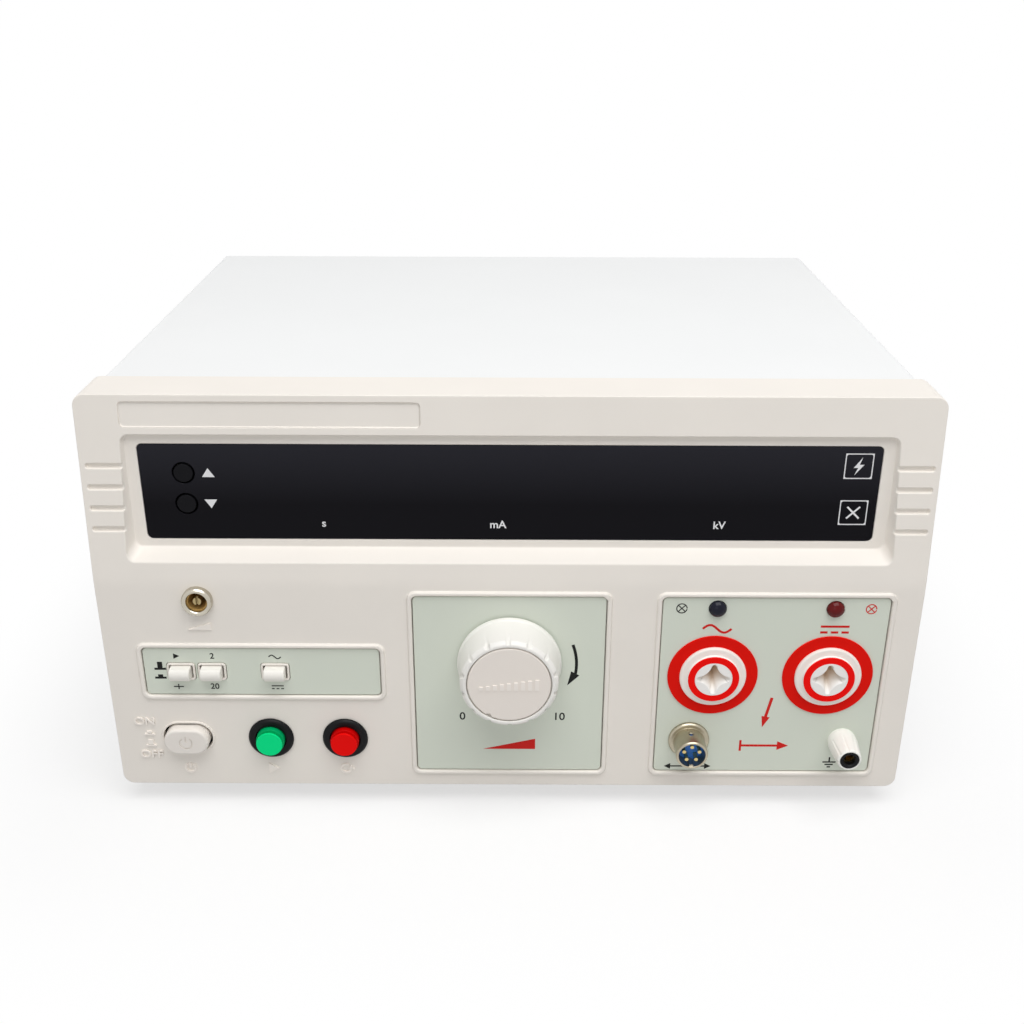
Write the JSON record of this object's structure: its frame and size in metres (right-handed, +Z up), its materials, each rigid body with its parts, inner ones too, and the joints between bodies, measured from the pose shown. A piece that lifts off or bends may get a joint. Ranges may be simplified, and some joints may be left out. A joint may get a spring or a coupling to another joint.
{
  "type": "hipot tester",
  "caption": "Bench high-voltage withstand tester: folded plastic front with dark display window, large voltage knob, push buttons and ringed high-voltage sockets on a pale steel case.",
  "frame": {"origin": "middle of the box around the part, at the plane that its feet stand on", "axes": "+Z up, +Y from the front panel to the back, +X to the right as seen from the front"},
  "size_m": [0.32, 0.2764, 0.1776],
  "materials": {
    "bezel_plastic": "fine satin moulding",
    "case_paint": "fine textured powder coat",
    "panel_paint": "fine textured powder coat",
    "zinc_steel": "zinc plated sheet",
    "steel": "turned",
    "window_acrylic": "polished dark acrylic",
    "plate_print": "satin printed film",
    "foot_rubber": "matte",
    "nickel": "nickel plated",
    "circuit_board": "solder mask",
    "black_plastic": "moulded",
    "white_plastic": "moulded",
    "blue_plastic": "moulded",
    "copper_wire": "enamelled wire",
    "cast_aluminium": "cast",
    "core_iron": "varnished laminations",
    "coil_resin": "taped and varnished",
    "red_insulator": "moulded",
    "white_insulator": "moulded",
    "contact_brass": "turned",
    "lead_rubber": "silicone lead",
    "lamp_lens": "tinted lens",
    "knob_plastic": "satin moulding",
    "knob_disc": "satin moulding",
    "carbon": "pressed carbon",
    "key_plastic": "satin moulding",
    "start_green": "translucent moulding",
    "reset_red": "translucent moulding"
  },
  "bodies": {
    "case": {"front_bezel": "bezel_plastic", "top_cover": "case_paint", "bottom_chassis": "zinc_steel", "rear_panel": "panel_paint", "display_window": "window_acrylic", "button_plate": "plate_print", "knob_plate": "plate_print", "output_plate": "plate_print", "feet": "foot_rubber", "case_screws": "nickel", "display_board": "circuit_board", "display_modules": "black_plastic", "key_switches": "black_plastic", "main_board": "circuit_board", "board_parts": "black_plastic", "board_standoffs": "nickel", "switch_board": "circuit_board", "mode_switch_bodies": "white_plastic", "power_switch_body": "black_plastic", "push_button_bodies": "black_plastic", "panel_nuts": "nickel", "trimmer_bush": "nickel", "trimmer_pot": "blue_plastic", "variac_winding": "copper_wire", "variac_frame": "cast_aluminium", "hv_transformer_core": "core_iron", "hv_transformer_coil": "coil_resin", "hv_transformer_clamps": "zinc_steel", "hv_capacitor": "white_plastic", "aux_transformer": "core_iron", "hv_washers": "red_insulator", "hv_sockets": "white_insulator", "hv_rings": "red_insulator", "control_shell": "nickel", "control_insert": "blue_plastic", "contact_pins": "contact_brass", "hv_leads": "lead_rubber", "earth_post": "contact_brass", "earth_collar": "black_plastic", "indicator_lamps": "lamp_lens", "power_inlet": "black_plastic", "rear_earth_stud": "contact_brass"},
    "voltage_knob": {"knob": "knob_plastic", "knob_cap": "knob_disc", "variac_shaft": "steel", "brush_arm": "contact_brass", "carbon_brush": "carbon"},
    "trimmer": {"trimmer_shaft": "contact_brass"},
    "up_key": {"up_button": "black_plastic"},
    "down_key": {"down_button": "black_plastic"},
    "mode_key": {"mode_button": "key_plastic"},
    "range_key": {"range_button": "key_plastic"},
    "polarity_key": {"polarity_button": "key_plastic"},
    "power_key": {"power_button": "bezel_plastic"},
    "start_key": {"start_button": "start_green"},
    "reset_key": {"reset_button": "reset_red"},
    "earth_clamp": {"earth_washer": "steel"},
    "earth_nut": {"earth_cap": "white_plastic", "earth_cap_core": "black_plastic"},
    "fuse_holder": {"fuse_drawer": "black_plastic"}
  },
  "joints": [
    {"name": "knob_turn", "type": "hinge", "parent": "case", "child": "voltage_knob", "pos_m": [0, -0.12085, 0.069], "axis": [0, 1, 0], "range_deg": [0, 300]},
    {"name": "trimmer_turn", "type": "hinge", "parent": "case", "child": "trimmer", "pos_m": [-0.1206, -0.12085, 0.0962], "axis": [0, 1, 0], "range_deg": [-135, 135]},
    {"name": "up_press", "type": "slide", "parent": "case", "child": "up_key", "axis": [0, 1, 0], "range_m": [0, 0.0008], "stiffness_N_per_m": 900, "springref_m": -0.0008},
    {"name": "down_press", "type": "slide", "parent": "case", "child": "down_key", "axis": [0, 1, 0], "range_m": [0, 0.0008], "stiffness_N_per_m": 900, "springref_m": -0.0008},
    {"name": "mode_press", "type": "slide", "parent": "case", "child": "mode_key", "axis": [0, 1, 0], "range_m": [0, 0.0035]},
    {"name": "range_press", "type": "slide", "parent": "case", "child": "range_key", "axis": [0, 1, 0], "range_m": [0, 0.0035]},
    {"name": "polarity_press", "type": "slide", "parent": "case", "child": "polarity_key", "axis": [0, 1, 0], "range_m": [0, 0.0035]},
    {"name": "power_press", "type": "slide", "parent": "case", "child": "power_key", "axis": [0, 1, 0], "range_m": [0, 0.004]},
    {"name": "start_press", "type": "slide", "parent": "case", "child": "start_key", "axis": [0, 1, 0], "range_m": [0, 0.003], "stiffness_N_per_m": 450, "springref_m": -0.002},
    {"name": "reset_press", "type": "slide", "parent": "case", "child": "reset_key", "axis": [0, 1, 0], "range_m": [0, 0.003], "stiffness_N_per_m": 450, "springref_m": -0.002},
    {"name": "earth_lift", "type": "slide", "parent": "case", "child": "earth_clamp", "axis": [0, -1, 0], "range_m": [0, 0.004]},
    {"name": "earth_turn", "type": "hinge", "parent": "earth_clamp", "child": "earth_nut", "pos_m": [0.1353, -0.12085, 0.0328], "axis": [0, -1, 0], "range_deg": [0, 1440]},
    {"name": "fuse_pull", "type": "slide", "parent": "case", "child": "fuse_holder", "axis": [0, 1, 0], "range_m": [0, 0.018]}
  ],
  "couplings": [
    {"joint": "earth_turn", "follows": "earth_lift", "rad_per_m": 6283.2}
  ]
}
